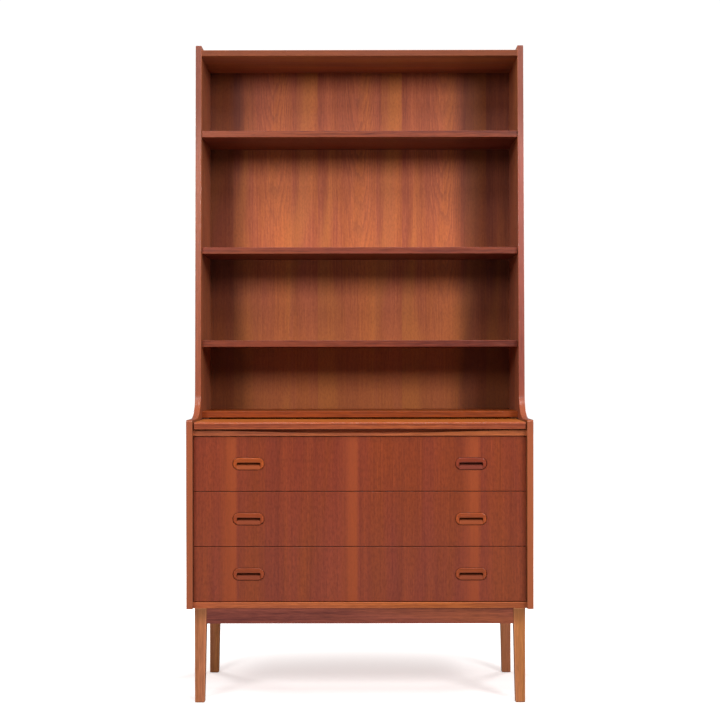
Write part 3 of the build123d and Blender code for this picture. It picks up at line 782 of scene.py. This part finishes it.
class StageOperator(bpy.types.Operator):
    """Set the floor, lights and camera"""

    bl_idname = "bookcase.stage"
    bl_label = "Studio"

    def execute(self, context):
        look = context.scene.bookcase_studio
        self.floor(look)
        self.world(context.scene, look)
        self.softbox("left_softbox", (-1.50, -2.90, 2.20), look.left_power, 0.85)
        self.softbox("right_softbox", (1.80, -2.70, 2.20), look.right_power, 0.85)
        self.softbox("top_softbox", (0.0, -1.50, 3.0), look.top_power, 1.3)
        self.softbox("rear_left_softbox", (-2.1, 2.2, 1.8), look.rear_power, 1.0)
        self.softbox("rear_right_softbox", (2.1, 2.2, 1.8), look.rear_power, 1.0)
        self.camera(context.scene, look)
        return {"FINISHED"}

    def floor(self, look):
        """A plain pale floor that glows, with a painted soft, warm shadow under the case."""
        span = 14.0
        corners = [(-span, -span, 0), (span, -span, 0), (span, span, 0), (-span, span, 0)]
        mesh = bpy.data.meshes.new("floor")
        mesh.from_pydata(corners, [], [(0, 1, 2, 3)])
        floor = bpy.data.objects.new("floor", mesh)
        bpy.context.collection.objects.link(floor)
        shade = Shade("pale_floor")
        seen = shade.put("LightPath", {}, {}).outputs["Is Camera Ray"]
        dim = shade.put("BsdfDiffuse", {}, {"Color": (look.bounce,) * 3 + (1,)})
        # Painted shadow: the floor's glow is dimmer and warmer under the case.
        deep = (shade.y + 0.02) * 1.4
        wide = shade.x * 0.85
        far = (wide * wide + deep * deep).root().smooth(0.30, 1.05)
        lit = shade.mix(far, (look.glow, 0.88 * look.glow, 0.86 * look.glow), (1, 1, 1))
        shade.feed(shade.shader, {"Base Color": (0.82, 0.80, 0.795, 1), "Roughness": 0.8,
                                  "Specular IOR Level": 0.0, "Emission Color": lit,
                                  "Emission Strength": 1.0})
        both = shade.put("MixShader", {}, {0: seen, 1: dim.outputs[0], 2: shade.shader.outputs[0]})
        shade.feed(shade.tree.nodes["Material Output"], {"Surface": both.outputs[0]})
        mesh.materials.append(shade.material)

    def world(self, scene, look):
        """White all round for the eye, and a softer white for the light."""
        scene.world = bpy.data.worlds.new("studio")
        scene.world.use_nodes = True
        tree = scene.world.node_tree
        background = tree.nodes["Background"]
        background.inputs["Color"].default_value = (1, 1, 1, 1)
        path = tree.nodes.new("ShaderNodeLightPath")
        strength = tree.nodes.new("ShaderNodeMapRange")
        strength.inputs["To Min"].default_value = look.ambient
        strength.inputs["To Max"].default_value = 1.05
        tree.links.new(path.outputs["Is Camera Ray"], strength.inputs["Value"])
        tree.links.new(strength.outputs[0], background.inputs["Strength"])

    def softbox(self, name, place, power, size):
        """A square soft light that looks at the middle of the bookcase."""
        lamp = bpy.data.lights.new(name, "AREA")
        lamp.shape = "SQUARE"
        lamp.size = size
        lamp.energy = power
        light = bpy.data.objects.new(name, lamp)
        light.location = place
        aim = CAD_BOX[0].lerp(CAD_BOX[1], 0.5) - light.location
        light.rotation_euler = aim.to_track_quat("-Z", "Y").to_euler()
        bpy.context.collection.objects.link(light)

    def camera(self, scene, look):
        """A camera in front, a little higher than the desk."""
        lens = bpy.data.cameras.new("camera")
        lens.lens = look.lens
        lens.sensor_width = 36.0
        lens.shift_y = look.rise
        eye = bpy.data.objects.new("camera", lens)
        eye.location = look.camera
        eye.rotation_euler = (math.pi / 2, look.roll, look.turn)
        bpy.context.collection.objects.link(eye)
        scene.camera = eye
        scene.view_settings.view_transform = "Standard"


class BookcasePanel(bpy.types.Panel):
    """Buttons and settings of the bookcase"""

    bl_idname = "VIEW3D_PT_bookcase"
    bl_label = "Bookcase"
    bl_space_type = "VIEW_3D"
    bl_region_type = "UI"
    bl_category = "Bookcase"

    def draw(self, context):
        for operator in OPERATORS:
            self.layout.operator(operator.bl_idname)
        for name, group in LOOKS.items():
            box = self.layout.box()
            box.label(text=group.__doc__)
            for key in group.__annotations__:
                box.prop(getattr(context.scene, name), key)


OPERATORS = (CaseOperator, BackOperator, ShelfOperator, DrawerOperator, PullOperator, LegOperator,
             InnerOperator, StageOperator)


def register():
    for group in LOOKS.values():
        bpy.utils.register_class(group)
    for name, group in LOOKS.items():
        setattr(bpy.types.Scene, name, PointerProperty(type=group))
    for cls in (*OPERATORS, BookcasePanel):
        bpy.utils.register_class(cls)


def unregister():
    for cls in (BookcasePanel, *reversed(OPERATORS)):
        bpy.utils.unregister_class(cls)
    for name in LOOKS:
        delattr(bpy.types.Scene, name)
    for group in reversed(LOOKS.values()):
        bpy.utils.unregister_class(group)


def main():
    """Register the add-on and build every group in order."""
    register()
    bpy.ops.bookcase.case()
    bpy.ops.bookcase.back()
    bpy.ops.bookcase.shelves()
    bpy.ops.bookcase.drawers()
    bpy.ops.bookcase.pulls()
    bpy.ops.bookcase.legs()
    bpy.ops.bookcase.inner()
    bpy.ops.bookcase.stage()


if __name__ == "__main__":
    main()
